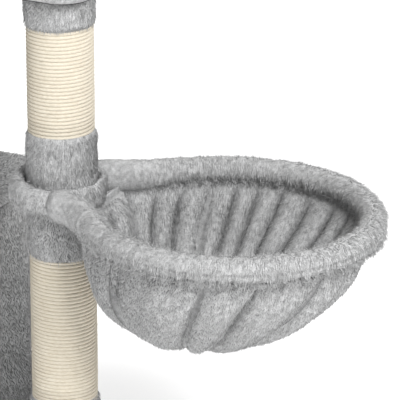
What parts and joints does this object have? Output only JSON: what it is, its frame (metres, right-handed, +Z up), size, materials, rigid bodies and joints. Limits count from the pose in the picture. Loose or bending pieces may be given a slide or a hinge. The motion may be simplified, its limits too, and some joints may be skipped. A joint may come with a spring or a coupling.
{
  "type": "cat tree",
  "caption": "Tall plush-covered cat tree with sisal posts, a condo, a platform, a raised bed and a deep plush basket that swivels round the front post.",
  "frame": {"origin": "middle of the flat underside of the base, on the floor", "axes": "+Z up, -Y towards the front with the condo's doorway, +X to the right, towards the basket"},
  "size_m": [0.902, 0.4931, 1.1134],
  "materials": {
    "plush": "light grey short-pile faux-fur plush, soft and slightly mottled, on a woven back",
    "plush_inner": "the same light grey plush with a flatter pile, inside the basket, the condo and the bed",
    "sisal": "natural cream twisted sisal rope wound in tight turns, with loose fibres",
    "board": "raw particle board",
    "paper_tube": "wound paper tube, raw",
    "liner": "thin black non-woven sheet",
    "zinc": "bright zinc-plated steel",
    "wire": "black powder-coated steel wire"
  },
  "bodies": {
    "tree": {"base_liner": "liner", "base_board": "board", "base_plush_cover": "plush", "front_post_base_bolt": "zinc", "condo_plush_cover": "plush", "condo_front_wall": "board", "condo_back_wall": "board", "condo_left_wall": "board", "condo_right_wall": "board", "condo_door_ring": "plush", "condo_roof_board": "board", "condo_roof_plush_cover": "plush", "condo_mat": "plush_inner", "condo_screw_1": "zinc", "condo_screw_2": "zinc", "condo_screw_3": "zinc", "condo_screw_4": "zinc", "roof_post_condo_bolt": "zinc", "front_post_lower_core_tube": "paper_tube", "front_post_lower_foot_cap": "board", "front_post_lower_head_cap": "board", "front_post_lower_sisal_wrap": "sisal", "front_post_lower_foot_band": "plush", "front_post_lower_head_band": "plush", "front_post_upper_core_tube": "paper_tube", "front_post_upper_foot_cap": "board", "front_post_upper_head_cap": "board", "front_post_upper_sisal_wrap": "sisal", "front_post_upper_foot_band": "plush", "front_post_upper_head_band": "plush", "front_post_stud": "zinc", "front_post_platform_bolt": "zinc", "roof_post_core_tube": "paper_tube", "roof_post_foot_cap": "board", "roof_post_head_cap": "board", "roof_post_sisal_wrap": "sisal", "roof_post_foot_band": "plush", "roof_post_head_band": "plush", "roof_post_platform_bolt": "zinc", "platform_liner": "liner", "platform_board": "board", "platform_plush_cover": "plush", "bed_post_platform_bolt": "zinc", "bed_post_core_tube": "paper_tube", "bed_post_foot_cap": "board", "bed_post_head_cap": "board", "bed_post_sisal_wrap": "sisal", "bed_post_foot_band": "plush", "bed_post_head_band": "plush", "bed_post_bed_bolt": "zinc", "bed_board": "board", "bed_plush_cover": "plush", "bed_bolster": "plush", "bed_cushion": "plush_inner"},
    "basket": {"basket_pivot_plate": "zinc", "basket_hoop_wire": "wire", "basket_collar_sleeve": "plush", "basket_rim_sleeve": "plush", "basket_bag_outer": "plush", "basket_bag_lining": "plush_inner"}
  },
  "joints": [
    {"name": "basket_swivel", "type": "hinge", "parent": "tree", "child": "basket", "pos_m": [0.2, -0.12, 0.453], "axis": [0, 0, 1], "range_deg": [-120, 90]}
  ]
}
